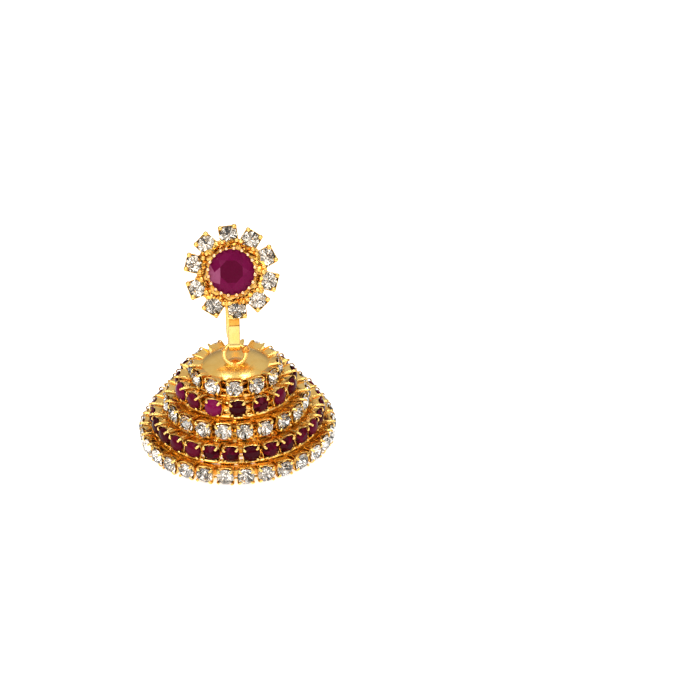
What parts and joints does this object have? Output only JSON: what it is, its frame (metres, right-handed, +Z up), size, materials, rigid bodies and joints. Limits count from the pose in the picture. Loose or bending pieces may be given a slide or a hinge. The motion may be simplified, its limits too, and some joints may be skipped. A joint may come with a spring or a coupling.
{
  "type": "jhumka earring",
  "caption": "Jhumka drop earring: flower stud of clear stones round a dark red stone, its flat hook holding a swinging bell of stepped gold rings set with clear and red stones.",
  "frame": {"origin": "seat of the ear post: the centre of the round pad's back face, on the post's axis, where the pad rests on the ear lobe", "axes": "+Z up along the bell's axis as it hangs, -Y the way the flower faces, +X to the wearer's left when it faces a viewer at -Y"},
  "size_m": [0.0248, 0.0253, 0.0262],
  "materials": {
    "gold": "polished warm gold plate",
    "ruby_glass": "polished, faceted, foil backed dark red",
    "clear_glass": "polished, faceted, foil backed clear",
    "clear_stone_ring": "gold plated cups holding faceted clear stones",
    "ruby_stone_ring": "gold plated cups holding faceted dark red stones"
  },
  "bodies": {
    "stud": {"stud_setting": "gold", "ear_post": "gold", "centre_ruby": "ruby_glass", "petal_stone_01": "clear_glass", "petal_stone_02": "clear_glass", "petal_stone_03": "clear_glass", "petal_stone_04": "clear_glass", "petal_stone_05": "clear_glass", "petal_stone_06": "clear_glass", "petal_stone_07": "clear_glass", "petal_stone_08": "clear_glass", "petal_stone_09": "clear_glass", "petal_stone_10": "clear_glass"},
    "bell": {"bell_cap": "gold", "tier_1_clear": "clear_stone_ring", "tier_2_ruby": "ruby_stone_ring", "tier_3_clear": "clear_stone_ring", "tier_4_ruby": "ruby_stone_ring", "tier_5_clear": "clear_stone_ring"}
  },
  "joints": [
    {"name": "bell_swing", "type": "hinge", "parent": "stud", "child": "bell", "pos_m": [0, -0.00569, -0.00696], "axis": [1, 0, 0], "range_deg": [-60, 45]}
  ]
}
